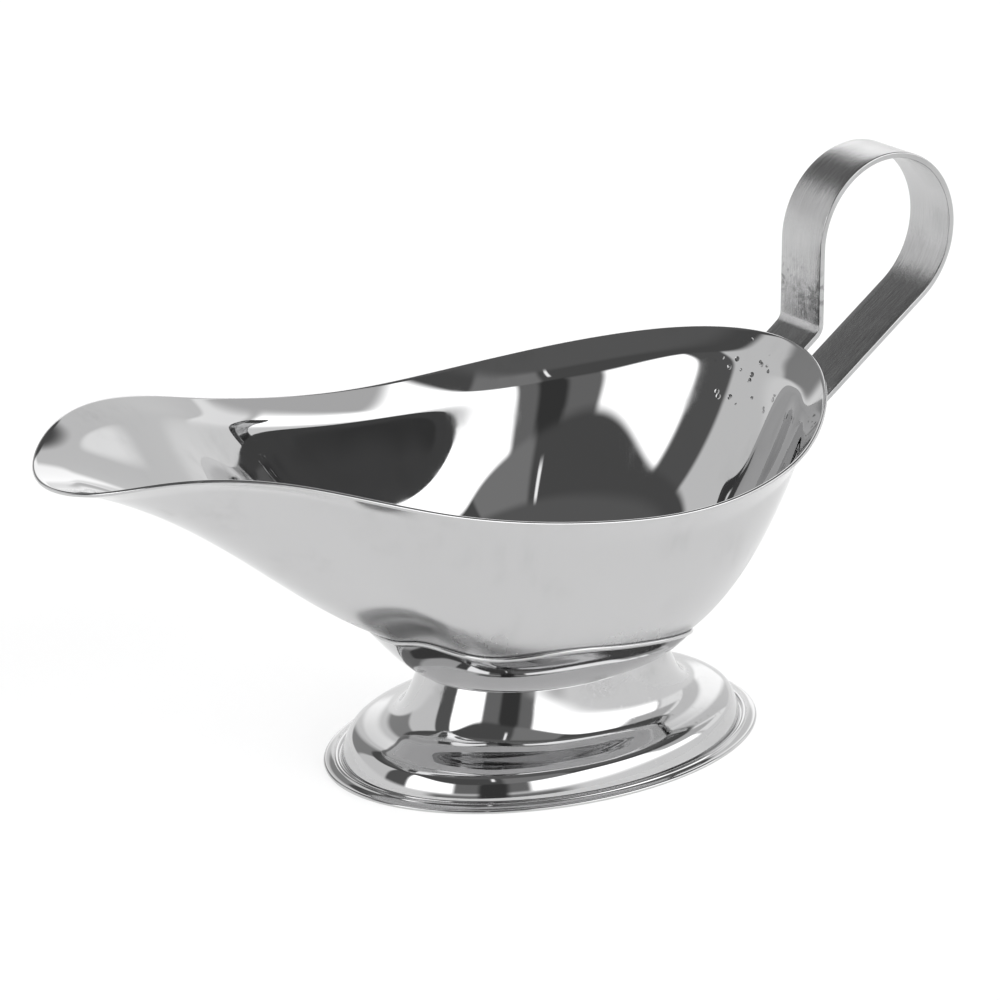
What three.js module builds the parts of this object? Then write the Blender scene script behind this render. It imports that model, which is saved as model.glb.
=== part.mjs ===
// Gravy boat of polished sheet steel: a spouted bowl, the collar that carries it, an oval foot
// and a bent strap handle. Millimetres, +Z up, spout towards -X, handle towards +X, Y is the
// mirror axis. The origin is at table level under the middle of the overall length.
import * as THREE from 'three';
import { mergeVertices } from 'three/addons/utils/BufferGeometryUtils.js';

// Driving dimensions.
const OVERALL_LENGTH = 205;
const SHEET = 0.8;
const GAP = 0.3;
const FOOT_CENTRE_X = 6;

// Foot: an oval profile of revolution, squeezed in Y.
const FOOT_HALF_LENGTH = 46;
const FOOT_SQUEEZE = 0.715;
const FLANGE_THICKNESS = 0.8;
const SHOULDER_HALF_LENGTH = 41.8;
const SHOULDER_TOP = 6.7;
// Spread of the flare beyond the waist and its height, from the shoulder up to the waist.
const FLARE = [
  [12.1, 6.7],
  [9.8, 7.15],
  [7.6, 7.6],
  [5.7, 8.4],
  [4.3, 9.6],
  [3.1, 11.3],
  [2, 13.4],
  [0.9, 15.8],
  [0, 17.7],
];
const WAIST_HALF_LENGTH = 25.9;
const WAIST_HEIGHT = 18;

// Collar: rises from the waist and closes against the bowl's underside.
const COLLAR_LIP_CENTRE_X = -2;
const COLLAR_LIP_HALF_LENGTH = 29.4;
const COLLAR_LIP_HALF_WIDTH = 34;
const COLLAR_LIP_SQUARENESS = 2.86;

// Bowl: every direction about the lowest point has its own wall, up to the rim.
const BOWL_LOW_POINT = new THREE.Vector3(14, 0, 19.3);
const LIP_FLARE = 2.2;
const LIP_START = 0.94;
const REAR_RIM = new THREE.Vector3(64.5, 0, 69.2);
const RIM = [
  new THREE.Vector3(-OVERALL_LENGTH / 2, 0, 73.4),
  new THREE.Vector3(-99.0, 10.6, 74.4),
  new THREE.Vector3(-88.5, 20.4, 77.0),
  new THREE.Vector3(-70.5, 30.0, 75.4),
  new THREE.Vector3(-45.0, 40.2, 67.6),
  new THREE.Vector3(-14.0, 45.2, 61.1),
  new THREE.Vector3(11.0, 46.7, 59.6),
  new THREE.Vector3(36.0, 40.4, 62.2),
  new THREE.Vector3(54.0, 25.6, 66.5),
  new THREE.Vector3(62.2, 12.0, 68.6),
  REAR_RIM,
];

// Wall shapes: reach is how far the floor runs out level, bend is where the wall turns up to the
// rim, both as fractions of the distance and height from the low point to the rim.
const WALL = {
  front: { reach: 0.52, bendOut: 0.57, bendUp: 0.65 },
  side: { reach: 0.76, bendOut: 0.89, bendUp: 0.35 },
  rear: { reach: 0.393, bendOut: 0.767, bendUp: 0.308 },
};

// Handle: a flat strap with a round loop, an upright leg and a sloping leg.
const STRAP_WIDTH = 12;
const STRAP_THICKNESS = 1.2;
const LOOP_RADIUS = 16.5;
const LOOP_HEIGHT = 87.8;
const LEG_SLOPE = THREE.MathUtils.degToRad(35);
const TAB_LENGTH = 10;
const LOOP_STEPS = 24;

const polishedSteel = new THREE.MeshStandardMaterial({ color: 0xd4d5d7, roughness: 0.08, metalness: 1 });
const footSteel = new THREE.MeshStandardMaterial({ color: 0xc9cacc, roughness: 0.1, metalness: 1 });
const satinSteel = new THREE.MeshStandardMaterial({ color: 0xb5b6b8, roughness: 0.3, metalness: 1 });

function toMesh(name, positions, indices, material) {
  const geometry = new THREE.BufferGeometry();
  geometry.setAttribute('position', new THREE.Float32BufferAttribute(positions, 3));
  geometry.setIndex(indices);
  geometry.computeVertexNormals();
  const mesh = new THREE.Mesh(geometry, material);
  mesh.name = name;
  return mesh;
}

// A shell over a polar grid. outer and inner map (direction, ring) to a point; ring 0 is one
// point, and the last rings of the two faces are joined by the edge of the sheet. The
// directions are rising angles about the middle.
function polarShell(name, outer, inner, rings, directions, material) {
  const count = directions.length;
  const positions = [];
  const indices = [];
  const addFace = (face) => {
    const start = positions.length / 3;
    positions.push(...face(0, rings[0]).toArray());
    for (const ring of rings.slice(1)) {
      for (const direction of directions) {
        positions.push(...face(direction, ring).toArray());
      }
    }
    return (ringIndex, k) => {
      if (ringIndex === 0) return start;
      return start + 1 + (ringIndex - 1) * count + (k % count);
    };
  };
  const outside = addFace(outer);
  const inside = addFace(inner);
  const last = rings.length - 1;
  for (let k = 0; k < count; k += 1) {
    indices.push(outside(0, 0), outside(1, k + 1), outside(1, k));
    indices.push(inside(0, 0), inside(1, k), inside(1, k + 1));
    for (let r = 1; r < last; r += 1) {
      indices.push(outside(r, k), outside(r, k + 1), outside(r + 1, k + 1));
      indices.push(outside(r, k), outside(r + 1, k + 1), outside(r + 1, k));
      indices.push(inside(r, k), inside(r + 1, k + 1), inside(r, k + 1));
      indices.push(inside(r, k), inside(r + 1, k), inside(r + 1, k + 1));
    }
    indices.push(outside(last, k), outside(last, k + 1), inside(last, k + 1));
    indices.push(outside(last, k), inside(last, k + 1), inside(last, k));
  }
  return toMesh(name, positions, indices, material);
}

// Bowl surface.
const rimLoop = RIM.concat(
  RIM.slice(1, -1).reverse().map((point) => new THREE.Vector3(point.x, -point.y, point.z)),
);
const rimCurve = new THREE.CatmullRomCurve3(rimLoop, true, 'centripetal');

// The rim point in a direction about the low point, found by halving on the +Y side.
function rimPoint(direction) {
  const wrapped = Math.atan2(Math.sin(direction), Math.cos(direction));
  const target = Math.abs(wrapped);
  let tipSide = 0;
  let rearSide = 0.5;
  for (let step = 0; step < 40; step += 1) {
    const middle = (tipSide + rearSide) / 2;
    const point = rimCurve.getPoint(middle);
    const angle = Math.atan2(point.y, point.x - BOWL_LOW_POINT.x);
    if (angle > target) tipSide = middle;
    else rearSide = middle;
  }
  const point = rimCurve.getPoint((tipSide + rearSide) / 2);
  return new THREE.Vector3(point.x, wrapped < 0 ? -point.y : point.y, point.z);
}

const rimCache = new Map();
function cachedRimPoint(direction) {
  if (!rimCache.has(direction)) rimCache.set(direction, rimPoint(direction));
  return rimCache.get(direction);
}

const BACK_BLEND = 0.2;
const SPOUT_NARROWNESS = 8;

function wallShape(direction) {
  const along = Math.cos(direction);
  const forward = Math.max(0, -along) ** SPOUT_NARROWNESS;
  const back = (along + Math.hypot(along, BACK_BLEND)) / (1 + Math.hypot(1, BACK_BLEND));
  const across = 1 - forward - back;
  const mix = (key) => forward * WALL.front[key] + across * WALL.side[key] + back * WALL.rear[key];
  return { reach: mix('reach'), bendOut: mix('bendOut'), bendUp: mix('bendUp') };
}

// Outer face of the bowl: ring 0 is the low point and ring 1 the rim. Each wall is a cubic
// Bezier curve, and its last stretch flares outwards as the lip.
function bowlOuter(direction, ring) {
  const rim = cachedRimPoint(direction);
  const wall = wallShape(direction);
  const b1 = 3 * ring * (1 - ring) ** 2;
  const b2 = 3 * ring ** 2 * (1 - ring);
  const b3 = ring ** 3;
  const rise = wall.bendUp * b2 + b3;
  const reachToRim = Math.hypot(rim.x - BOWL_LOW_POINT.x, rim.y);
  const lip = LIP_FLARE / reachToRim;
  const turnOut = Math.max(0, (ring - LIP_START) / (1 - LIP_START)) ** 2;
  const out = (wall.reach * b1 + wall.bendOut * b2 + b3) * (1 - lip) + lip * turnOut;
  return new THREE.Vector3(
    BOWL_LOW_POINT.x + (rim.x - BOWL_LOW_POINT.x) * out,
    rim.y * out,
    BOWL_LOW_POINT.z + (rim.z - BOWL_LOW_POINT.z) * rise,
  );
}

const DIRECTION_STEP = 0.01;
const RING_STEP = 0.004;

function bowlOutwardNormal(direction, ring) {
  if (ring === 0) return new THREE.Vector3(0, 0, -1);
  const inner = Math.max(0, ring - RING_STEP);
  const outer = Math.min(1, ring + RING_STEP);
  const along = bowlOuter(direction + DIRECTION_STEP, ring).sub(bowlOuter(direction - DIRECTION_STEP, ring));
  const up = bowlOuter(direction, outer).sub(bowlOuter(direction, inner));
  return along.cross(up).normalize();
}

function bowlInner(direction, ring) {
  return bowlOuter(direction, ring).addScaledVector(bowlOutwardNormal(direction, ring), -SHEET);
}

const BOWL_RINGS = [0, 0.08, 0.17, 0.27, 0.38, 0.5, 0.62, 0.74, 0.85, LIP_START, 0.97, 1];
const BOWL_DIRECTIONS = 68;

// Directions that put the mesh's ribs closest together round the spout, where the rim turns most.
const bowlDirections = Array.from({ length: BOWL_DIRECTIONS }, (_, k) => {
  const point = rimCurve.getPoint(k / BOWL_DIRECTIONS);
  return Math.atan2(point.y, point.x - BOWL_LOW_POINT.x);
}).sort((a, b) => a - b);

const bowl = polarShell('bowl', bowlOuter, bowlInner, BOWL_RINGS, bowlDirections, polishedSteel);

// Height of the bowl's outer face above a point of the plan, found along that direction.
function bowlUndersideHeight(x, y) {
  const direction = Math.atan2(y, x - BOWL_LOW_POINT.x);
  const distance = Math.hypot(x - BOWL_LOW_POINT.x, y);
  let low = 0;
  let high = 1;
  for (let step = 0; step < 40; step += 1) {
    const middle = (low + high) / 2;
    const point = bowlOuter(direction, middle);
    if (Math.hypot(point.x - BOWL_LOW_POINT.x, point.y) < distance) low = middle;
    else high = middle;
  }
  return bowlOuter(direction, (low + high) / 2).z;
}

// Collar. Ring 0 is the middle of its floor, ring 1 its floor's edge and ring 2 its lip.
const COLLAR_BASE = WAIST_HEIGHT;
const COLLAR_CLEARANCE = GAP + 0.2;
const COLLAR_CURVE = 1.35;

function squared(value) {
  return Math.sign(value) * Math.abs(value) ** (2 / COLLAR_LIP_SQUARENESS);
}

function collarPoint(direction, ring, face) {
  const floor = new THREE.Vector3(
    FOOT_CENTRE_X + WAIST_HALF_LENGTH * Math.cos(direction) * Math.min(ring, 1),
    WAIST_HALF_LENGTH * FOOT_SQUEEZE * Math.sin(direction) * Math.min(ring, 1),
    COLLAR_BASE + face,
  );
  if (ring <= 1) return floor;
  const climb = ring - 1;
  const lip = new THREE.Vector3(
    COLLAR_LIP_CENTRE_X + COLLAR_LIP_HALF_LENGTH * squared(Math.cos(direction)),
    COLLAR_LIP_HALF_WIDTH * squared(Math.sin(direction)),
    0,
  );
  lip.z = bowlUndersideHeight(lip.x, lip.y) - COLLAR_CLEARANCE - SHEET + face;
  const point = floor.lerp(lip, climb);
  const height = climb ** COLLAR_CURVE;
  point.z = COLLAR_BASE + face + (lip.z - COLLAR_BASE - face) * height;
  return point;
}

const COLLAR_RINGS = [0, 0.6, 1, 1.15, 1.35, 1.6, 1.8, 2];
const COLLAR_DIRECTIONS = 48;
const collarDirections = Array.from(
  { length: COLLAR_DIRECTIONS },
  (_, k) => (2 * Math.PI * k) / COLLAR_DIRECTIONS,
);
const collar = polarShell(
  'collar',
  (direction, ring) => collarPoint(direction, ring, 0),
  (direction, ring) => collarPoint(direction, ring, SHEET),
  COLLAR_RINGS,
  collarDirections,
  footSteel,
);

// Foot: flange, upright step, rounded shoulder, concave flare and flat top, hollow underneath.
const CURVE_STEPS = 6;
const FOOT_SEGMENTS = 48;
const STEP_HEIGHT = 1.2;
const FILLET = 0.4;
const SHOULDER_BASE = FLANGE_THICKNESS + STEP_HEIGHT;
const FOOT_TOP = WAIST_HEIGHT - GAP;

function footFace(inset) {
  const points = [];
  const shoulderStart = WAIST_HALF_LENGTH + FLARE[0][0];
  const shoulderOut = SHOULDER_HALF_LENGTH - shoulderStart - inset;
  const shoulderRise = SHOULDER_TOP - SHOULDER_BASE - inset;
  for (let k = 0; k <= CURVE_STEPS; k += 1) {
    const turn = ((Math.PI / 2) * k) / CURVE_STEPS;
    points.push(new THREE.Vector2(
      shoulderStart + shoulderOut * Math.cos(turn),
      SHOULDER_BASE + shoulderRise * Math.sin(turn),
    ));
  }
  for (const [spread, height] of FLARE.slice(1)) {
    points.push(new THREE.Vector2(WAIST_HALF_LENGTH + spread - inset, height - inset));
  }
  points.push(new THREE.Vector2(0, FOOT_TOP - inset));
  return points;
}

const footOutline = [
  new THREE.Vector2(SHOULDER_HALF_LENGTH - SHEET, 0),
  new THREE.Vector2(FOOT_HALF_LENGTH, 0),
  new THREE.Vector2(FOOT_HALF_LENGTH, FLANGE_THICKNESS),
  new THREE.Vector2(SHOULDER_HALF_LENGTH + FILLET, FLANGE_THICKNESS),
  ...footFace(0),
];
const footUnderside = footFace(SHEET).reverse();
const footProfile = [...footOutline, ...footUnderside, footOutline[0].clone()];

function latheBody(profile, segments) {
  const geometry = new THREE.LatheGeometry(profile, segments);
  geometry.deleteAttribute('normal');
  geometry.deleteAttribute('uv');
  geometry.rotateX(Math.PI / 2);
  geometry.scale(1, FOOT_SQUEEZE, 1);
  return mergeVertices(geometry, 1e-4);
}

const foot = new THREE.Mesh(latheBody(footProfile, FOOT_SEGMENTS), footSteel);
foot.name = 'foot';
foot.position.x = FOOT_CENTRE_X;

// Handle: the strap's centreline lies in the XZ plane, drawn here in X and Z.
const LEG_CLEARANCE = GAP + STRAP_THICKNESS / 2;
const BEND_RADIUS = 3;
const ABOVE_RIM_SLOPE = THREE.MathUtils.degToRad(36);
const BELOW_RIM_SLOPE = THREE.MathUtils.degToRad(48);
const UPPER_TAB_RING = 0.88;
const LOWER_TAB_RING = 0.72;

// The straight run that lies against the rear wall, and touches it nearest at one ring.
function rearWallRun(ring) {
  const normal = bowlOutwardNormal(0, ring);
  const point = bowlOuter(0, ring).addScaledVector(normal, LEG_CLEARANCE);
  return { point: new THREE.Vector2(point.x, point.z), along: new THREE.Vector2(normal.z, -normal.x) };
}

function slopeLine(point, slope) {
  return { point, along: new THREE.Vector2(Math.cos(slope), Math.sin(slope)) };
}

function crossing(line, run) {
  const between = run.point.clone().sub(line.point);
  const travel = between.cross(run.along) / line.along.cross(run.along);
  return line.point.clone().addScaledVector(line.along, travel);
}

// A corner replaced by an arc that leaves both straight runs smoothly.
function roundedCorner(before, corner, after, radius) {
  const back = before.clone().sub(corner).normalize();
  const ahead = after.clone().sub(corner).normalize();
  const half = Math.acos(back.dot(ahead)) / 2;
  const centre = corner.clone().addScaledVector(back.clone().add(ahead).normalize(), radius / Math.sin(half));
  const start = corner.clone().addScaledVector(back, radius / Math.tan(half)).sub(centre);
  const turn = (Math.PI - 2 * half) * Math.sign(ahead.cross(back));
  const spin = (part) => start.clone().rotateAround(new THREE.Vector2(), turn * part).add(centre);
  return [0, 0.25, 0.5, 0.75, 1].map(spin);
}

function handleCentreline() {
  const loopCentre = new THREE.Vector2(OVERALL_LENGTH / 2 - LOOP_RADIUS - STRAP_THICKNESS / 2, LOOP_HEIGHT);
  const uprightX = loopCentre.x - LOOP_RADIUS;
  const underRim = new THREE.Vector2(REAR_RIM.x, REAR_RIM.z).addScaledVector(
    new THREE.Vector2(Math.sin(BELOW_RIM_SLOPE), -Math.cos(BELOW_RIM_SLOPE)),
    LEG_CLEARANCE,
  );
  const upperRun = rearWallRun(UPPER_TAB_RING);
  const upperCorner = crossing(slopeLine(underRim, BELOW_RIM_SLOPE), upperRun);
  const upperTabEnd = upperCorner.clone().addScaledVector(upperRun.along, TAB_LENGTH);
  const uprightCorner = new THREE.Vector2(
    uprightX,
    underRim.y + (uprightX - underRim.x) * Math.tan(ABOVE_RIM_SLOPE),
  );
  const loop = [];
  const sweep = Math.PI + Math.PI / 2 - LEG_SLOPE;
  for (let k = 0; k <= LOOP_STEPS; k += 1) {
    const angle = Math.PI - (sweep * k) / LOOP_STEPS;
    const spoke = new THREE.Vector2(Math.cos(angle), Math.sin(angle)).multiplyScalar(LOOP_RADIUS);
    loop.push(spoke.add(loopCentre));
  }
  const lowerRun = rearWallRun(LOWER_TAB_RING);
  const loopEnd = loop[LOOP_STEPS];
  const lowerCorner = crossing(slopeLine(loopEnd, LEG_SLOPE), lowerRun);
  const lowerTabEnd = lowerCorner.clone().addScaledVector(lowerRun.along, TAB_LENGTH);
  return [
    upperTabEnd,
    ...roundedCorner(upperTabEnd, upperCorner, underRim, BEND_RADIUS),
    ...roundedCorner(upperCorner, underRim, uprightCorner, BEND_RADIUS),
    ...roundedCorner(underRim, uprightCorner, loop[0], BEND_RADIUS),
    ...loop,
    ...roundedCorner(loopEnd, lowerCorner, lowerTabEnd, BEND_RADIUS),
    lowerTabEnd,
  ];
}

function strapGeometry(centreline) {
  const sides = centreline.map((point, k) => {
    const before = centreline[Math.max(0, k - 1)];
    const after = centreline[Math.min(centreline.length - 1, k + 1)];
    const along = after.clone().sub(before).normalize();
    const across = new THREE.Vector2(-along.y, along.x).multiplyScalar(STRAP_THICKNESS / 2);
    return [point.clone().add(across), point.clone().sub(across)];
  });
  const outline = [...sides.map(([left]) => left), ...sides.map(([, right]) => right).reverse()];
  const geometry = new THREE.ExtrudeGeometry(new THREE.Shape(outline), {
    depth: STRAP_WIDTH,
    bevelEnabled: false,
  });
  geometry.rotateX(Math.PI / 2);
  geometry.translate(0, STRAP_WIDTH / 2, 0);
  return geometry;
}

const handle = new THREE.Mesh(strapGeometry(handleCentreline()), satinSteel);
handle.name = 'handle';

const gravyBoat = new THREE.Group();
gravyBoat.name = 'gravy_boat';
gravyBoat.add(bowl, collar, foot, handle);

export default gravyBoat;
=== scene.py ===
"""Looks of the polished steel gravy boat: bowl, collar, foot and strap handle, stage and camera.

Lengths named in millimetres are turned to metres by MM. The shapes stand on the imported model's
box: its bottom centre is the origin of every dimension below.
"""
import math

import bmesh
import bpy
import numpy as np
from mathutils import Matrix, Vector


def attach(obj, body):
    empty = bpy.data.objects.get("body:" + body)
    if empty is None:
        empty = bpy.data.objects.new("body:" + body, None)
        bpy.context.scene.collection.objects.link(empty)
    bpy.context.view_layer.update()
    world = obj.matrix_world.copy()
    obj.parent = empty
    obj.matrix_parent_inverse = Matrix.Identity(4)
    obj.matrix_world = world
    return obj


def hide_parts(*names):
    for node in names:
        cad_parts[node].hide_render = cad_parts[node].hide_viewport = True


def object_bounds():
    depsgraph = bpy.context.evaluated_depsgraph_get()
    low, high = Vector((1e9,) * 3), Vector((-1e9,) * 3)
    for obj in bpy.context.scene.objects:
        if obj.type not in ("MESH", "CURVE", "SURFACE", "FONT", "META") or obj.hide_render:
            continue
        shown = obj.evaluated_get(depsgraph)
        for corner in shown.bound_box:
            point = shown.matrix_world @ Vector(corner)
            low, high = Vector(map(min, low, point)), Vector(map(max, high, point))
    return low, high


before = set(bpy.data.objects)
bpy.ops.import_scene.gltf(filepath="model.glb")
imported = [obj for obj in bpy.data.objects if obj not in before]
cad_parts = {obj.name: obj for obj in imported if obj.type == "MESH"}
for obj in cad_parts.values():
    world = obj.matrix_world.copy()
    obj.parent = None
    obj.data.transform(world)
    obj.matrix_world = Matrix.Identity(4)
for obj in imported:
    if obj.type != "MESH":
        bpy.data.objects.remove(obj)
cad_low, cad_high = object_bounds()

MM = 0.001
ORIGIN = np.array([(cad_low.x + cad_high.x) / 2, (cad_low.y + cad_high.y) / 2, cad_low.z])

# Sheet and strap, millimetres.
SHEET = 0.8
STRAP_WIDTH = 12.0
STRAP_THICKNESS = 1.2
STRAP_EDGE = 0.28

# Bowl, millimetres: rim from the spout's tip to the handle, one side.
HALF_LENGTH = 102.5
LOW_POINT = np.array([14.0, 0.0, 19.3])
RIM = [
    (-HALF_LENGTH, 0.0, 73.4),
    (-99.0, 10.6, 74.4),
    (-88.5, 20.4, 77.0),
    (-70.5, 30.0, 75.4),
    (-45.0, 40.2, 67.6),
    (-14.0, 45.2, 61.1),
    (11.0, 46.7, 59.6),
    (36.0, 40.4, 62.2),
    (54.0, 25.6, 66.5),
    (62.2, 12.0, 68.6),
    (64.5, 0.0, 69.2),
]
WALL = {
    "front": (0.52, 0.57, 0.65),
    "side": (0.76, 0.89, 0.35),
    "rear": (0.393, 0.767, 0.308),
}
SPOUT_NARROWNESS = 8
BACK_BLEND = 0.2
LIP_FLARE = 2.2
LIP_WIDTH = 5.0
LIP_CREASE = 1.2
# Rings of the surface, from the low point at 0 to the rim at 1: first, last and number of rings.
WALL_RINGS = (0.004, 0.86, 70)
LIP_RINGS = (0.865, 1.0, 50)
BOWL_RINGS = WALL_RINGS[2] + LIP_RINGS[2]
SLOPE_STEP = 1e-4

# Foot, millimetres. The waist's width is FOOT_SQUEEZE of its length, and the foot spreads
# sideways by FLARE_SQUEEZE of what it spreads lengthways.
FOOT_CENTRE = 6.0
FOOT_SQUEEZE = 0.715
WAIST_HEIGHT = 18.0
WAIST_HALF_LENGTH = 25.9
# How far the foot spreads beyond the waist, and the height there, from the shoulder to the waist.
FLARE = [
    (12.1, 6.75),
    (9.8, 7.15),
    (7.6, 7.6),
    (5.7, 8.4),
    (4.3, 9.6),
    (3.1, 11.3),
    (2.0, 13.4),
    (0.9, 15.8),
    (0.0, 17.95),
]
FLARE_SQUEEZE = 0.64
FLARE_START = 0.02
# Half-length and half-width of each oval, with its height in the shoulder's list.
FLANGE = (46.0, 33.0)
FLANGE_EDGE = 0.4
UNDER_EDGE = (42.15, 30.2)
BEAD = (43.35, 30.95)
BEAD_RADIUS = 0.55
BEAD_TURN = 0.1
SHOULDER = [
    (42.3, 30.35, 1.0),
    (42.05, 30.15, 2.2),
    (41.4, 29.6, 4.0),
    (40.6, 28.9, 5.4),
    (39.5, 27.8, 6.25),
    (38.2, 26.5, 6.7),
]
FOOT_TOP = ((20.0, 14.0), (10.0, 7.0), (0.2, 0.14))
FOOT_TOP_DROP = 0.05

# Collar, millimetres.
COLLAR_LIP_CENTRE = -2.0
COLLAR_LIP = (29.4, 34.0)
COLLAR_LIP_SQUARENESS = 2.86
COLLAR_CLEARANCE = 0.05
COLLAR_CURVE = 1.35

# Handle, millimetres.
LOOP_RADIUS = 16.5
LOOP_HEIGHT = 87.8
LEG_SLOPE = math.radians(35)
TAB_LENGTH = 10.0
BEND_RADIUS = 3.0
ABOVE_RIM_SLOPE = math.radians(36)
BELOW_RIM_SLOPE = math.radians(48)
UPPER_TAB_RING = 0.88
LOWER_TAB_RING = 0.72
LEG_CLEARANCE = 0.05 + STRAP_THICKNESS / 2

# Number of points round each piece, round each thin edge and along each curve.
BOWL_AROUND = 512
COLLAR_AROUND = 256
FOOT_AROUND = 256
COLLAR_RISE = 50
EDGE_POINTS = 9
FLANGE_POINTS = 7
SHOULDER_POINTS = 30
FLARE_POINTS = 60
LOOP_POINTS = 97
BEND_POINTS = 9
CORNER_POINTS = 5
FLAT_POINTS = 9
STRAP_SPACING = 1.0
# Search for the bowl's height over a point of the plan: directions round half the rim, and steps.
PLAN_POINTS = 801
HALVINGS = 40


def spline(points, closed):
    """Curve with smooth curvature through points, as a function of 0 to 1."""
    points = np.asarray(points, float)
    count = len(points)
    ends = np.roll(points, -1, 0) if closed else points[1:]
    starts = points if closed else points[:-1]
    step = np.linalg.norm(ends - starts, axis=1) ** 0.5
    knots = np.concatenate([[0.0], np.cumsum(step)])
    system = np.zeros((count, count))
    right = np.zeros_like(points)
    for i in range(count):
        if not closed and i in (0, count - 1):
            system[i, i] = 1.0
            continue
        before, after = step[i - 1], step[i]
        following = (i + 1) % count
        system[i, i - 1] += before
        system[i, i] += 2 * (before + after)
        system[i, following] += after
        slope_after = (points[following] - points[i]) / after
        slope_before = (points[i] - points[i - 1]) / before
        right[i] = 6 * (slope_after - slope_before)
    bend = np.linalg.solve(system, right)

    def at(share):
        share = np.asarray(share, float)
        place = (share % 1.0 if closed else share) * knots[-1]
        i = np.clip(np.searchsorted(knots, place, side="right") - 1, 0, len(step) - 1)
        j = (i + 1) % count
        width = step[i][..., None]
        left = knots[i + 1][..., None] - place[..., None]
        done = place[..., None] - knots[i][..., None]
        curved = (bend[i] * left**3 + bend[j] * done**3) / (6 * width)
        straight_left = (points[i] / width - bend[i] * width / 6) * left
        straight_right = (points[j] / width - bend[j] * width / 6) * done
        return curved + straight_left + straight_right

    return at


def grid_object(name, rows, wrap_rows=False, caps=(False, False), uv=None):
    """Mesh over rows of points that close on themselves. Single-point ends are given by caps."""
    rows = np.asarray(rows, float)
    height, width = rows.shape[:2]
    vertices = [tuple(p) for p in (rows.reshape(-1, 3) * MM + ORIGIN)]
    faces = []
    last = height if wrap_rows else height - 1
    for r in range(last):
        below = (r + 1) % height
        for c in range(width):
            right = (c + 1) % width
            faces.append((r * width + c, r * width + right, below * width + right, below * width + c))
    for end, row in ((0, 0), (1, height - 1)):
        if not caps[end]:
            continue
        middle = len(vertices)
        vertices.append(tuple(rows[row].mean(0) * MM + ORIGIN))
        for c in range(width):
            right = (c + 1) % width
            corner = (row * width + c, row * width + right)
            faces.append((middle, corner[1], corner[0]) if end == 0 else (middle, corner[0], corner[1]))
    mesh = bpy.data.meshes.new(name)
    mesh.from_pydata(vertices, [], faces)
    mesh.shade_smooth()
    if uv is not None:
        layer = mesh.uv_layers.new(name="surface")
        flat = np.asarray(uv, float).reshape(-1, 2)
        extra = np.zeros((len(vertices) - len(flat), 2))
        flat = np.concatenate([flat, extra])
        index = np.zeros(len(mesh.loops), np.int32)
        mesh.loops.foreach_get("vertex_index", index)
        layer.data.foreach_set("uv", flat[index].astype(np.float32).ravel())
    piece = bpy.data.objects.new(name, mesh)
    bpy.context.scene.collection.objects.link(piece)
    return piece


# Bowl.
rim_side = [np.array(p) for p in RIM]
rim_other = [np.array([p[0], -p[1], p[2]]) for p in RIM[1:-1]][::-1]
rim_curve = spline(rim_side + rim_other, closed=True)


def wall_shape(rim):
    """Reach, bend out and bend up of the wall that rises to each rim point."""
    away = rim[..., :2] - LOW_POINT[:2]
    along = away[..., 0] / np.linalg.norm(away, axis=-1)
    front = np.maximum(0.0, -along) ** SPOUT_NARROWNESS
    rear = (along + np.hypot(along, BACK_BLEND)) / (1 + math.hypot(1, BACK_BLEND))
    side = 1 - front - rear
    return [front * WALL["front"][k] + side * WALL["side"][k] + rear * WALL["rear"][k] for k in range(3)]


def bowl_outer(share, ring):
    """Outer face: share runs round the rim, ring from 0 at the low point to 1 at the rim."""
    rim = rim_curve(share)
    reach, bend_out, bend_up = wall_shape(rim)
    b1 = 3 * ring * (1 - ring) ** 2
    b2 = 3 * ring**2 * (1 - ring)
    b3 = ring**3
    run = np.linalg.norm(rim[..., :2] - LOW_POINT[:2], axis=-1)
    height = rim[..., 2] - LOW_POINT[2]
    near_rim = 3 * np.hypot((1 - bend_out) * run, (1 - bend_up) * height)
    inside_lip = LIP_WIDTH - (1 - ring) * near_rim
    turned = (inside_lip + np.sqrt(inside_lip**2 + LIP_CREASE**2)) / 2 / LIP_WIDTH
    lip = LIP_FLARE / run
    out = (reach * b1 + bend_out * b2 + b3) * (1 - lip) + lip * turned * b3
    rise = bend_up * b2 + b3
    flat = LOW_POINT[:2] + (rim[..., :2] - LOW_POINT[:2]) * out[..., None]
    return np.concatenate([flat, (LOW_POINT[2] + height * rise)[..., None]], -1)


def bowl_normal(share, ring):
    """Unit normal of the outer face, pointing away from the hollow."""
    ring = np.maximum(ring, 2 * SLOPE_STEP)
    along = bowl_outer(share + SLOPE_STEP, ring) - bowl_outer(share - SLOPE_STEP, ring)
    up = bowl_outer(share, np.minimum(ring + SLOPE_STEP, 1.0)) - bowl_outer(share, ring - SLOPE_STEP)
    normal = np.cross(up, along)
    return normal / np.linalg.norm(normal, axis=-1, keepdims=True)


def bowl_rows():
    """Rows up the outer face, over the rim's edge and down the inner face."""
    shares = np.arange(BOWL_AROUND) / BOWL_AROUND
    rings = np.concatenate([np.linspace(*WALL_RINGS), np.linspace(*LIP_RINGS)])
    share, ring = np.meshgrid(shares, rings)
    outer = bowl_outer(share, ring)
    normal = bowl_normal(share, ring)
    inner = outer - normal * SHEET
    tangent = outer - bowl_outer(share, ring - SLOPE_STEP)
    tangent /= np.linalg.norm(tangent, axis=-1, keepdims=True)
    middle = (outer[-1] + inner[-1]) / 2
    edge = []
    for turn in np.linspace(0, math.pi, EDGE_POINTS)[1:-1]:
        swing = math.cos(turn) * normal[-1] + math.sin(turn) * tangent[-1]
        edge.append(middle + swing * SHEET / 2)
    return np.concatenate([outer, np.array(edge), inner[::-1]])


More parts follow.
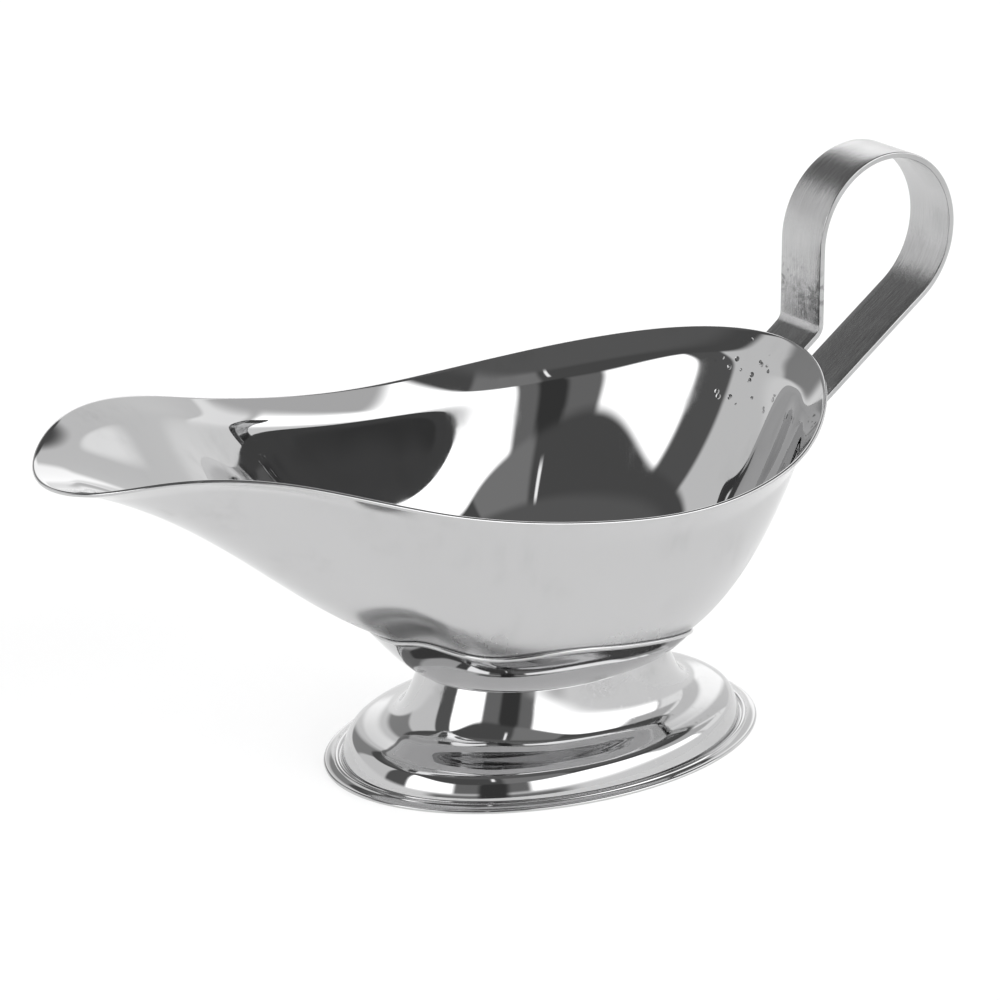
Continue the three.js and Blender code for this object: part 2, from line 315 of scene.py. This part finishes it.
# The surface's own run: 0 outside to 1 inside, and the share of the way round.
sheet_rows = bowl_rows()
face = np.clip((np.arange(len(sheet_rows)) - BOWL_RINGS) / (EDGE_POINTS - 1), 0, 1)
around = np.arange(BOWL_AROUND) / BOWL_AROUND
bowl_uv = np.stack(np.broadcast_arrays(face[:, None], around[None, :]), -1)
bowl = grid_object("bowl_sheet", sheet_rows, caps=(True, True), uv=bowl_uv)


# Collar: rises from the waist and closes against the bowl's underside.
def underside_height(x, y):
    """Height of the bowl's outer face above points of the plan."""
    shares = np.linspace(0, 0.5, PLAN_POINTS)
    rim = rim_curve(shares)
    turn = np.arctan2(rim[:, 1], rim[:, 0] - LOW_POINT[0])[::-1]
    wanted = np.arctan2(np.abs(y), x - LOW_POINT[0])
    share = np.interp(wanted, turn, shares[::-1])
    distance = np.hypot(x - LOW_POINT[0], y)
    low, high = np.zeros_like(share), np.ones_like(share)
    for _ in range(HALVINGS):
        middle = (low + high) / 2
        point = bowl_outer(share, middle)
        short = np.hypot(point[..., 0] - LOW_POINT[0], point[..., 1]) < distance
        low = np.where(short, middle, low)
        high = np.where(short, high, middle)
    return bowl_outer(share, (low + high) / 2)[..., 2]


def collar_rows():
    """Rows up the outer face, over the lip's edge and down the inner face."""
    turn = np.linspace(0, 2 * math.pi, COLLAR_AROUND, endpoint=False)
    base = np.stack([
        FOOT_CENTRE + WAIST_HALF_LENGTH * np.cos(turn),
        WAIST_HALF_LENGTH * FOOT_SQUEEZE * np.sin(turn),
        np.full_like(turn, WAIST_HEIGHT),
    ], -1)
    squared = 2 / COLLAR_LIP_SQUARENESS
    along = np.sign(np.cos(turn)) * np.abs(np.cos(turn)) ** squared
    across = np.sign(np.sin(turn)) * np.abs(np.sin(turn)) ** squared
    lip = np.stack([COLLAR_LIP_CENTRE + COLLAR_LIP[0] * along, COLLAR_LIP[1] * across], -1)
    lip_height = underside_height(lip[:, 0], lip[:, 1]) - COLLAR_CLEARANCE - SHEET
    rows = []
    for climb in np.linspace(0, 1, COLLAR_RISE):
        flat = base[:, :2] + (lip - base[:, :2]) * climb
        height = WAIST_HEIGHT + (lip_height - WAIST_HEIGHT) * climb**COLLAR_CURVE
        rows.append(np.concatenate([flat, height[:, None]], -1))
    rows = np.array(rows)
    steepness = COLLAR_LIP_SQUARENESS - 1
    outward = np.stack([
        np.sign(along) * np.abs(along) ** steepness / COLLAR_LIP[0],
        np.sign(across) * np.abs(across) ** steepness / COLLAR_LIP[1],
    ], -1)
    outward /= np.linalg.norm(outward, axis=-1, keepdims=True)
    edge = []
    for angle in np.linspace(0, math.pi, EDGE_POINTS)[1:]:
        point = rows[-1].copy()
        point[:, :2] += outward * math.sin(angle) * SHEET / 2
        point[:, 2] += (1 - math.cos(angle)) * SHEET / 2
        edge.append(point)
    inner = rows[::-1].copy()
    inner[..., 2] += SHEET
    return np.concatenate([rows, np.array(edge), inner[1:]])


collar = grid_object("collar_dish", collar_rows(), caps=(True, True))


# Foot: each oval is a half-length, a half-width and a height.
def foot_rows():
    """Rows from the middle of the hollow's top out to the flange and back up to the top's middle."""
    outside = []
    for turn in np.linspace(0, math.pi, FLANGE_POINTS):
        out = FLANGE_EDGE * (math.sin(turn) - 1)
        outside.append((FLANGE[0] + out, FLANGE[1] + out, FLANGE_EDGE * (1 - math.cos(turn))))
    for turn in np.linspace(BEAD_TURN, math.pi - BEAD_TURN, EDGE_POINTS):
        out = BEAD_RADIUS * math.cos(turn)
        outside.append((BEAD[0] + out, BEAD[1] + out, SHEET + BEAD_RADIUS * math.sin(turn)))
    neck = list(spline(SHOULDER, closed=False)(np.linspace(0, 1, SHOULDER_POINTS)))
    for spread, height in spline(FLARE, closed=False)(np.linspace(FLARE_START, 1, FLARE_POINTS)):
        neck.append((
            WAIST_HALF_LENGTH + spread,
            WAIST_HALF_LENGTH * FOOT_SQUEEZE + spread * FLARE_SQUEEZE,
            height,
        ))
    top = [(a, b, WAIST_HEIGHT - FOOT_TOP_DROP) for a, b in FOOT_TOP]
    under = [(a - SHEET, b - SHEET, z - SHEET) for a, b, z in neck]
    under_top = [(a, b, z - SHEET) for a, b, z in top]
    inside = [(UNDER_EDGE[0] - SHEET, UNDER_EDGE[1] - SHEET, 0.0)] + under + under_top
    turn = np.linspace(0, 2 * math.pi, FOOT_AROUND, endpoint=False)
    rows = []
    for a, b, z in inside[::-1] + outside + neck + top:
        rows.append(np.stack([FOOT_CENTRE + a * np.cos(turn), b * np.sin(turn), np.full_like(turn, z)], -1))
    return rows


foot = grid_object("foot_pressing", foot_rows(), caps=(True, True))


# Handle: its centreline lies in X and Z.
def rear_run(ring):
    """Point and direction of the straight run that lies on the rear wall at a ring."""
    share, ring = np.array([0.5]), np.array([ring])
    normal = bowl_normal(share, ring)[0][[0, 2]]
    point = bowl_outer(share, ring)[0][[0, 2]] + normal * LEG_CLEARANCE
    return point, np.array([normal[1], -normal[0]])


def crossing(point, slope, run):
    """Corner where a line up the slope from the point meets a straight run."""
    along = np.array([math.cos(slope), math.sin(slope)])
    travel = np.linalg.solve(np.stack([along, -run[1]], 1), run[0] - point)
    return point + along * travel[0]


def rounded(before, corner, after, radius):
    """Points of the arc that rounds a corner between its two neighbours."""
    back = (before - corner) / np.linalg.norm(before - corner)
    ahead = (after - corner) / np.linalg.norm(after - corner)
    half = math.acos(float(back @ ahead)) / 2
    middle = (back + ahead) / np.linalg.norm(back + ahead)
    centre = corner + middle * radius / math.sin(half)
    start = corner + back * radius / math.tan(half) - centre
    sense = np.sign(ahead[0] * back[1] - ahead[1] * back[0])
    points = []
    for turn in np.linspace(0, (math.pi - 2 * half) * sense, BEND_POINTS):
        c, s = math.cos(turn), math.sin(turn)
        points.append(centre + np.array([c * start[0] - s * start[1], s * start[0] + c * start[1]]))
    return points


def handle_centreline():
    """From the upper tab's end over the rim, up, round the loop and down to the lower tab's end."""
    loop_centre = np.array([HALF_LENGTH - LOOP_RADIUS - STRAP_THICKNESS / 2, LOOP_HEIGHT])
    upright = loop_centre[0] - LOOP_RADIUS
    rear_rim = np.array([RIM[-1][0], RIM[-1][2]])
    under_rim = rear_rim + np.array([math.sin(BELOW_RIM_SLOPE), -math.cos(BELOW_RIM_SLOPE)]) * LEG_CLEARANCE
    upper = rear_run(UPPER_TAB_RING)
    upper_corner = crossing(under_rim, BELOW_RIM_SLOPE, upper)
    upper_end = upper_corner + upper[1] * TAB_LENGTH
    upright_corner = np.array([upright, under_rim[1] + (upright - under_rim[0]) * math.tan(ABOVE_RIM_SLOPE)])
    sweep = math.pi * 1.5 - LEG_SLOPE
    loop = [loop_centre + LOOP_RADIUS * np.array([math.cos(a), math.sin(a)])
            for a in np.linspace(math.pi, math.pi - sweep, LOOP_POINTS)]
    lower = rear_run(LOWER_TAB_RING)
    lower_corner = crossing(loop[-1], LEG_SLOPE, lower)
    lower_end = lower_corner + lower[1] * TAB_LENGTH
    return np.array([
        upper_end,
        *rounded(upper_end, upper_corner, under_rim, BEND_RADIUS),
        *rounded(upper_corner, under_rim, upright_corner, BEND_RADIUS),
        *rounded(under_rim, upright_corner, loop[0], BEND_RADIUS),
        *loop,
        *rounded(loop[-1], lower_corner, lower_end, BEND_RADIUS),
        lower_end,
    ])


def evenly(points, spacing):
    """Same polyline with points no further apart than spacing."""
    out = [points[0]]
    for start, end in zip(points[:-1], points[1:]):
        parts = max(1, math.ceil(np.linalg.norm(end - start) / spacing))
        out.extend(start + (end - start) * k / parts for k in range(1, parts + 1))
    return np.array(out)


def handle_rows():
    """Rows of the strap's section, and for each point its distance along and its place across."""
    line = evenly(handle_centreline(), STRAP_SPACING)
    along = np.gradient(line, axis=0)
    along /= np.linalg.norm(along, axis=1, keepdims=True)
    across = np.stack([-along[:, 1], along[:, 0]], 1)
    run = np.concatenate([[0.0], np.cumsum(np.linalg.norm(np.diff(line, axis=0), axis=1))])
    flat_half = STRAP_WIDTH / 2 - STRAP_EDGE
    thin_half = STRAP_THICKNESS / 2 - STRAP_EDGE
    section = []
    for quarter in range(4):
        sign_y = 1 if quarter in (0, 3) else -1
        sign_n = 1 if quarter in (0, 1) else -1
        for turn in np.linspace(0, math.pi / 2, CORNER_POINTS):
            angle = quarter * math.pi / 2 + turn
            section.append((
                sign_y * flat_half + STRAP_EDGE * math.cos(angle),
                sign_n * thin_half + STRAP_EDGE * math.sin(angle),
            ))
        if quarter in (0, 2):
            for share in np.linspace(0, 1, FLAT_POINTS)[1:-1]:
                y = sign_y * flat_half * (1 - 2 * share)
                section.append((y, sign_n * STRAP_THICKNESS / 2))
    section = np.array(section)
    rows, uv = [], []
    for k in range(len(line)):
        flat = line[k] + across[k] * section[:, 1:2]
        rows.append(np.stack([flat[:, 0], section[:, 0], flat[:, 1]], 1))
        uv.append(np.stack([np.full(len(section), run[k]), section[:, 0]], 1))
    return np.array(rows), np.array(uv)


rows, uv = handle_rows()
handle = grid_object("handle_strap", rows, caps=(True, True), uv=uv)


def recalculate_normals(piece):
    """Turn every face outwards."""
    work = bmesh.new()
    work.from_mesh(piece.data)
    bmesh.ops.recalc_face_normals(work, faces=work.faces)
    work.to_mesh(piece.data)
    work.free()


for piece in (bowl, collar, foot, handle):
    recalculate_normals(piece)
    piece.data.shade_smooth()


# Finishes: grey of the clean steel and of its darkest marks, and roughness.
STEEL_BLUE = 1.006
BOWL_GREY = 0.53
BOWL_MARK_GREY = 0.17
FOOT_GREY = 0.54
FOOT_HAZE_GREY = 0.42
STRAP_GREY = 0.53
STRAP_MARK_GREY = 0.27
INSIDE_ROUGHNESS = 0.025
LOW_OUTSIDE_ROUGHNESS = 0.26
HIGH_OUTSIDE_ROUGHNESS = 0.11
FOOT_ROUGHNESS = 0.045
STRAP_ROUGHNESS = 0.15

# Patches: bumps to a metre, detail, and the noise at which a patch starts and is full.
BOWL_SMUDGES = (55.0, 5.0, 0.45, 0.75)
PIT_PATCHES = (210.0, 3.0, 0.53, 0.6)
HAZE_PATCHES = (70.0, 4.0, 0.5, 0.68)
FOOT_CLOUDS = (45.0, 5.0, 0.45, 0.75)
FOOT_SPECKLES = (900.0, 3.0, 0.52, 0.7)
STRAP_SMUDGES = (700.0, 5.0, 0.46, 0.62)
SMUDGE_GAPS = (120.0, 2.0, 0.42, 0.6)
STRAP_CLOUDS = (90.0, 4.0, 0.4, 0.7)

# How much each mark darkens or roughens the steel.
SMEAR_DARK = 0.2
SMEAR_ROUGH = 0.16
PIT_ROUGH = 0.3
HAZE_DARK = 0.8
HAZE_ROUGH = 0.2
CLOUD_DARK = 0.25
SPECKLE_ROUGH = 0.22
LINE_DARK = 0.25
LINE_ROUGH = 0.2
STRAP_CLOUD_DARK = 0.2
FINGER_DARK = 0.9

# Where marks lie, metres: low end, high end and softness.
OUTSIDE_CHANGE = (0.034, 0.046)
WELD_BELOW = 0.0030
WELD_ABOVE = 0.0006
WELD_SOFT = 0.0016
FINGER_HEIGHTS = (0.073, 0.0835, 0.004)
FINGER_END = (0.073, 0.078)

# Weld pits and dent inside the rear wall: ring and sideways place in millimetres, reach in metres.
PITS = (0.92, 3.0)
PITS_REACH = 0.011
DENT = (0.80, -13.0)
DENT_REACH = 0.02
BALL_CORE = 0.45

# Heights and depths of relief, metres.
BOWL_WAVES = 0.00009
DENT_DEPTH = 0.0008
PIT_DEPTH = 0.00012
FOOT_WAVES = 0.0001
WELD_GRAIN = 0.00005
BRUSHED_LINES = 0.000035
CROSS_LINES = 0.00003


def math_node(nodes, operation, *values):
    """Output of one arithmetic node. Each value is a number or another node's output."""
    node = nodes.nodes.new("ShaderNodeMath")
    node.operation = operation
    for slot, value in enumerate(values):
        if isinstance(value, (int, float)):
            node.inputs[slot].default_value = value
        else:
            nodes.links.new(value, node.inputs[slot])
    return node.outputs[0]


def add(nodes, first, second):
    return math_node(nodes, "ADD", first, second)


def times(nodes, first, second):
    return math_node(nodes, "MULTIPLY", first, second)


def ramp(nodes, value, low, high, start=0.0, end=1.0):
    """Smooth step from start to end as value goes from low to high."""
    node = nodes.nodes.new("ShaderNodeMapRange")
    node.interpolation_type = "SMOOTHSTEP"
    for name, number in (("From Min", low), ("From Max", high), ("To Min", start), ("To Max", end)):
        node.inputs[name].default_value = number
    nodes.links.new(value, node.inputs["Value"])
    return node.outputs["Result"]


def window(nodes, value, low, high, soft):
    """1 between low and high, 0 outside, with soft edges."""
    rise = ramp(nodes, value, low - soft, low + soft)
    fall = ramp(nodes, value, high - soft, high + soft, 1.0, 0.0)
    return times(nodes, rise, fall)


def blend(nodes, share, below, above):
    """Number that goes from below to above as share goes from 0 to 1."""
    node = nodes.nodes.new("ShaderNodeMix")
    node.data_type = "FLOAT"
    nodes.links.new(share, node.inputs[0])
    for slot, value in ((2, below), (3, above)):
        if isinstance(value, (int, float)):
            node.inputs[slot].default_value = value
        else:
            nodes.links.new(value, node.inputs[slot])
    return node.outputs[0]


def noise(nodes, vector, scale, detail=3.0):
    """Cloudy noise of 0 to 1, with scale bumps to one unit of the vector."""
    node = nodes.nodes.new("ShaderNodeTexNoise")
    node.inputs["Scale"].default_value = scale
    node.inputs["Detail"].default_value = detail
    nodes.links.new(vector, node.inputs["Vector"])
    return node.outputs[0]


def noise_along(nodes, vector, scales, detail):
    """Noise with its own number of bumps to one unit on each axis."""
    return noise(nodes, stretched(nodes, vector, scales), 1.0, detail)


def patches(nodes, place, kind):
    """Soft patches, 0 to 1, of one of the kinds listed above."""
    scale, detail, start, full = kind
    return ramp(nodes, noise(nodes, place, scale, detail), start, full)


def stretched(nodes, vector, factors):
    node = nodes.nodes.new("ShaderNodeVectorMath")
    node.operation = "MULTIPLY"
    nodes.links.new(vector, node.inputs[0])
    node.inputs[1].default_value = factors
    return node.outputs[0]


def axes(nodes, vector):
    """The three numbers of a vector."""
    node = nodes.nodes.new("ShaderNodeSeparateXYZ")
    nodes.links.new(vector, node.inputs[0])
    return node.outputs


def ball(nodes, vector, centre, radius):
    """1 near the centre, falling to 0 at the radius, both in metres."""
    node = nodes.nodes.new("ShaderNodeVectorMath")
    node.operation = "DISTANCE"
    nodes.links.new(vector, node.inputs[0])
    node.inputs[1].default_value = centre
    return ramp(nodes, node.outputs["Value"], radius * BALL_CORE, radius, 1.0, 0.0)


def raised(nodes, height, depth, under=None):
    """Normal of a surface whose height, 0 to 1, is worth depth metres."""
    node = nodes.nodes.new("ShaderNodeBump")
    node.inputs["Strength"].default_value = 1.0
    node.inputs["Distance"].default_value = depth
    nodes.links.new(height, node.inputs["Height"])
    if under is not None:
        nodes.links.new(under, node.inputs["Normal"])
    return node.outputs["Normal"]


def grey(nodes, share, low, high):
    """Steel grey, a touch blue, that goes from low to high as share goes from 0 to 1."""
    node = nodes.nodes.new("ShaderNodeMix")
    node.data_type = "RGBA"
    nodes.links.new(share, node.inputs[0])
    node.inputs[6].default_value = (low, low, low * STEEL_BLUE, 1)
    node.inputs[7].default_value = (high, high, high * STEEL_BLUE, 1)
    return node.outputs[2]


class Metal:
    """A steel finish under construction: its nodes, the place in metres and the surface's own run."""

    def __init__(self, name):
        self.material = bpy.data.materials.new(name)
        self.material.use_nodes = True
        self.nodes = self.material.node_tree
        self.shader = self.nodes.nodes["Principled BSDF"]
        self.shader.inputs["Metallic"].default_value = 1.0
        self.place = self.nodes.nodes.new("ShaderNodeTexCoord").outputs["Object"]
        surface = self.nodes.nodes.new("ShaderNodeUVMap")
        surface.uv_map = "surface"
        self.surface = surface.outputs[0]

    def finished(self, colour, roughness, normal):
        self.nodes.links.new(colour, self.shader.inputs["Base Color"])
        self.nodes.links.new(roughness, self.shader.inputs["Roughness"])
        self.nodes.links.new(normal, self.shader.inputs["Normal"])
        return self.material


def rear_wall_place(ring, sideways):
    """Point of the rear wall's middle at a ring, moved sideways, in metres."""
    point = bowl_outer(np.array([0.5]), np.array([ring]))[0]
    return point * MM + ORIGIN + np.array([0, sideways * MM, 0])


def polished_steel():
    """Bowl: mirror inside, softer outside, pitted and rippled where the handle is welded behind."""
    metal = Metal("polished_steel")
    nodes, place = metal.nodes, metal.place
    inside = ramp(nodes, axes(nodes, metal.surface)[0], 0.4, 0.6)
    streak = ramp(nodes, noise_along(nodes, place, (260.0, 260.0, 14.0), 4.0), 0.35, 0.8)
    smear = times(nodes, patches(nodes, place, BOWL_SMUDGES), streak)

    spots = nodes.nodes.new("ShaderNodeTexVoronoi")
    spots.inputs["Scale"].default_value = 560.0
    nodes.links.new(place, spots.inputs["Vector"])
    pit = ramp(nodes, spots.outputs["Distance"], 0.18, 0.34, 1.0, 0.0)
    pit = times(nodes, pit, ball(nodes, place, rear_wall_place(*PITS), PITS_REACH))
    pit = times(nodes, pit, patches(nodes, place, PIT_PATCHES))
    pit = times(nodes, pit, inside)

    ripple = noise_along(nodes, place, (95.0, 95.0, 20.0), 0.0)
    ripple = times(nodes, ripple, ball(nodes, place, rear_wall_place(*DENT), DENT_REACH))
    normal = raised(nodes, noise(nodes, place, 30.0, 1.0), BOWL_WAVES)
    normal = raised(nodes, ripple, DENT_DEPTH, normal)
    normal = raised(nodes, pit, -PIT_DEPTH, normal)

    colour = grey(nodes, add(nodes, times(nodes, smear, SMEAR_DARK), pit), BOWL_GREY, BOWL_MARK_GREY)
    height = axes(nodes, place)[2]
    outside = ramp(nodes, height, *OUTSIDE_CHANGE, LOW_OUTSIDE_ROUGHNESS, HIGH_OUTSIDE_ROUGHNESS)
    roughness = blend(nodes, inside, outside, INSIDE_ROUGHNESS)
    roughness = add(nodes, roughness, times(nodes, smear, SMEAR_ROUGH))
    roughness = add(nodes, roughness, times(nodes, pit, PIT_ROUGH))
    return metal.finished(colour, roughness, normal)


def foot_steel():
    """Foot and collar: polished, hazy and grained beside the weld at the waist."""
    metal = Metal("foot_steel")
    nodes, place = metal.nodes, metal.place
    waist = float(WAIST_HEIGHT * MM + ORIGIN[2])
    height = axes(nodes, place)[2]
    near_weld = window(nodes, height, waist - WELD_BELOW, waist + WELD_ABOVE, WELD_SOFT)
    haze = times(nodes, near_weld, patches(nodes, place, HAZE_PATCHES))
    cloud = patches(nodes, place, FOOT_CLOUDS)
    speckle = times(nodes, patches(nodes, place, FOOT_SPECKLES), cloud)
    grain = noise(nodes, place, 2600.0, 2.0)

    normal = raised(nodes, noise(nodes, place, 45.0, 1.0), FOOT_WAVES)
    normal = raised(nodes, times(nodes, grain, haze), WELD_GRAIN, normal)
    dull = add(nodes, times(nodes, haze, HAZE_DARK), times(nodes, cloud, CLOUD_DARK))
    roughness = add(nodes, times(nodes, haze, HAZE_ROUGH), FOOT_ROUGHNESS)
    roughness = add(nodes, roughness, times(nodes, speckle, SPECKLE_ROUGH))
    return metal.finished(grey(nodes, dull, FOOT_GREY, FOOT_HAZE_GREY), roughness, normal)


def satin_steel():
    """Strap: brushed along its length, fingered at the foot of the upright."""
    metal = Metal("satin_steel")
    nodes, place = metal.nodes, metal.place
    lines = noise_along(nodes, metal.surface, (0.05, 9.0, 1.0), 4.0)
    cross_lines = noise_along(nodes, metal.surface, (0.9, 1.6, 1.0), 5.0)
    along, _, up = axes(nodes, place)
    finger = times(nodes, patches(nodes, place, STRAP_SMUDGES), patches(nodes, place, SMUDGE_GAPS))
    finger = times(nodes, finger, window(nodes, up, *FINGER_HEIGHTS))
    finger = times(nodes, finger, ramp(nodes, along, *FINGER_END, 1.0, 0.0))

    normal = raised(nodes, lines, BRUSHED_LINES)
    normal = raised(nodes, cross_lines, CROSS_LINES, normal)
    brushed = times(nodes, ramp(nodes, lines, 0.3, 0.7), LINE_DARK)
    cloudy = times(nodes, patches(nodes, place, STRAP_CLOUDS), STRAP_CLOUD_DARK)
    dull = add(nodes, add(nodes, brushed, cloudy), times(nodes, finger, FINGER_DARK))
    roughness = add(nodes, times(nodes, brushed, LINE_ROUGH), STRAP_ROUGHNESS)
    return metal.finished(grey(nodes, dull, STRAP_GREY, STRAP_MARK_GREY), roughness, normal)


polished = polished_steel()
foot_metal = foot_steel()
satin = satin_steel()
for piece, node, slot, material in (
    (bowl, "bowl", "polished_steel", polished),
    (collar, "collar", "foot_steel", foot_metal),
    (foot, "foot", "foot_steel", foot_metal),
    (handle, "handle", "satin_steel", satin),
):
    piece.data.materials.append(material)
    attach(piece, "root")
    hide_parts(node)

# Floor.
FLOOR_REACH = 6.0
FLOOR_GREY = 0.9
FLOOR_ROUGHNESS = 0.9


def floor_sheet():
    """Pale paper that the foot stands on."""
    corners = [(-1, -1), (1, -1), (1, 1), (-1, 1)]
    mesh = bpy.data.meshes.new("floor")
    mesh.from_pydata([(x * FLOOR_REACH, y * FLOOR_REACH, cad_low.z) for x, y in corners], [], [(0, 1, 2, 3)])
    material = bpy.data.materials.new("floor_paper")
    material.use_nodes = True
    shader = material.node_tree.nodes["Principled BSDF"]
    shader.inputs["Base Color"].default_value = (FLOOR_GREY, FLOOR_GREY, FLOOR_GREY, 1)
    shader.inputs["Roughness"].default_value = FLOOR_ROUGHNESS
    mesh.materials.append(material)
    sheet = bpy.data.objects.new("floor", mesh)
    bpy.context.scene.collection.objects.link(sheet)
    return sheet


floor_sheet()

# Studio, in degrees. Azimuths run clockwise from the far side, front azimuths from the near side,
# and elevations up from the floor.
CEILING = 0.16
CEILING_EDGE = 39.0
WALL_LIGHT = 0.9
LOW_WALL_LIGHT = 1.05
SOFTBOX = 2.4
FLOOR_LIGHT = 2.2
FLOOR_LIGHT_SPREAD = math.radians(60)

# Upright bands of the walls: low edge, high edge, softness of the edges, brightness. The front
# bands go by front azimuth and the far bands by azimuth.
FRONT_BANDS = (
    (47.0, 91.0, 2.0, SOFTBOX),
    (-72.0, 24.0, 2.0, SOFTBOX),
    (91.0, 113.0, 2.0, 0.14),
    (11.0, 54.0, 2.0, 0.22),
    (24.0, 36.0, 1.0, 0.06),
)
FAR_BANDS = (
    (-20.0, 17.0, 4.0, 0.35),
    (26.0, 52.0, 3.0, 1.6),
    (77.0, 104.0, 2.0, 1.3),
)

LOW_WALL_ELEVATIONS = (7.0, 12.0)

# Wall above the light on the right.
ABOVE_RIGHT = (84.0, 128.0, 4.0)
ABOVE_RIGHT_ELEVATIONS = (21.0, 26.0)
ABOVE_RIGHT_LIGHT = 0.7

# Someone standing behind the camera: a dark arch in front of the lights.
ARCH_MIDDLE = 33.0
ARCH_HALF_WIDTH = 45.0
ARCH_DEPTH = 16.0
ARCH_TOP_ELEVATIONS = (44.0, 50.0)
GREY_SIDE = (-12.0, 24.0, 2.0)
FIGURE_GREY = 0.3
FIGURE_DARK = 0.11
CEILING_SOFTNESS = 1.5

# Table edge, camera, and the thin gap of light beside the camera.
TABLE_EDGE = (-6.0, 70.0, 7.0)
TABLE_ELEVATIONS = (4.0, 10.0)
TABLE_LIGHT = 0.25
CAMERA_BODY = (22.0, 38.0, 2.0)
CAMERA_ELEVATIONS = (20.0, 26.0)
CAMERA_LIGHT = 0.06
GAP = (28.6, 30.6, 0.6)
GAP_ELEVATIONS = (32.0, 47.0, 3.0)
GAP_LIGHT = 1.6


def studio_light(nodes):
    """Brightness of the studio in every direction."""
    east, north, up = axes(nodes, nodes.nodes.new("ShaderNodeTexCoord").outputs["Generated"])
    degrees = 180 / math.pi
    azimuth = times(nodes, math_node(nodes, "ARCTAN2", east, north), degrees)
    from_front = math_node(nodes, "ARCTAN2", times(nodes, east, -1.0), times(nodes, north, -1.0))
    front_azimuth = times(nodes, from_front, degrees)
    elevation = times(nodes, math_node(nodes, "ARCSINE", up), degrees)

    light = WALL_LIGHT
    for angle, bands in ((front_azimuth, FRONT_BANDS), (azimuth, FAR_BANDS)):
        for low, high, soft, value in bands:
            light = blend(nodes, window(nodes, angle, low, high, soft), light, value)

    # The right light ends lower than the left one.
    above_right = ramp(nodes, elevation, *ABOVE_RIGHT_ELEVATIONS)
    above_right = times(nodes, window(nodes, azimuth, *ABOVE_RIGHT), above_right)
    light = blend(nodes, above_right, light, ABOVE_RIGHT_LIGHT)

    # Below the lights the walls are as pale as the floor.
    light = blend(nodes, ramp(nodes, elevation, *LOW_WALL_ELEVATIONS), LOW_WALL_LIGHT, light)

    # The ceiling comes down as the arch, grey over part of its width and dark over the rest.
    from_middle = math_node(nodes, "SUBTRACT", front_azimuth, ARCH_MIDDLE)
    fall = times(nodes, math_node(nodes, "POWER", from_middle, 4.0), -1 / ARCH_HALF_WIDTH**4)
    arch = times(nodes, math_node(nodes, "EXPONENT", fall), ARCH_DEPTH)
    above_edge = math_node(nodes, "SUBTRACT", add(nodes, elevation, arch), CEILING_EDGE)
    overhead_share = ramp(nodes, above_edge, -CEILING_SOFTNESS, CEILING_SOFTNESS)
    figure = blend(nodes, window(nodes, front_azimuth, *GREY_SIDE), FIGURE_DARK, FIGURE_GREY)
    ceiling = blend(nodes, ramp(nodes, elevation, *ARCH_TOP_ELEVATIONS), figure, CEILING)
    light = blend(nodes, overhead_share, light, ceiling)

    low_part = ramp(nodes, elevation, *TABLE_ELEVATIONS, 1.0, 0.0)
    table_edge = times(nodes, window(nodes, front_azimuth, *TABLE_EDGE), low_part)
    light = blend(nodes, table_edge, light, TABLE_LIGHT)
    under_lens = ramp(nodes, elevation, *CAMERA_ELEVATIONS, 1.0, 0.0)
    camera_body = times(nodes, window(nodes, front_azimuth, *CAMERA_BODY), under_lens)
    light = blend(nodes, camera_body, light, CAMERA_LIGHT)
    gap_height = window(nodes, elevation, *GAP_ELEVATIONS)
    gap = times(nodes, window(nodes, front_azimuth, *GAP), gap_height)
    return blend(nodes, gap, light, GAP_LIGHT)


world = bpy.data.worlds.new("studio")
bpy.context.scene.world = world
world.use_nodes = True
background = world.node_tree.nodes["Background"]
background.inputs["Color"].default_value = (1, 1, 1, 1)
world.node_tree.links.new(studio_light(world.node_tree), background.inputs["Strength"])

# A light from above that only the floor shows: it casts no shadow and steel doesn't mirror it.
floor_light = bpy.data.lights.new("floor_light", "SUN")
floor_light.energy = FLOOR_LIGHT
floor_light.angle = FLOOR_LIGHT_SPREAD
floor_light.use_shadow = False
overhead = bpy.data.objects.new("floor_light", floor_light)
overhead.visible_glossy = False
bpy.context.scene.collection.objects.link(overhead)
bpy.context.scene.view_settings.view_transform = "Standard"

# Camera.
AZIMUTH = math.radians(-36.23)
ELEVATION = math.radians(19.77)
DISTANCE = 0.9
LENS = 171.9
SENSOR = 36.0
TARGET_SHIFT = Vector((-0.0042, 0.0, -0.0018))

target = Vector((cad_low + cad_high) / 2) + TARGET_SHIFT
back = Vector((
    math.sin(AZIMUTH) * math.cos(ELEVATION),
    -math.cos(AZIMUTH) * math.cos(ELEVATION),
    math.sin(ELEVATION),
))
camera_data = bpy.data.cameras.new("camera")
camera_data.sensor_width = SENSOR
camera_data.lens = LENS
camera = bpy.data.objects.new("camera", camera_data)
camera.location = target + back * DISTANCE
camera.rotation_euler = (-back).to_track_quat("-Z", "Y").to_euler()
bpy.context.scene.collection.objects.link(camera)
bpy.context.scene.camera = camera
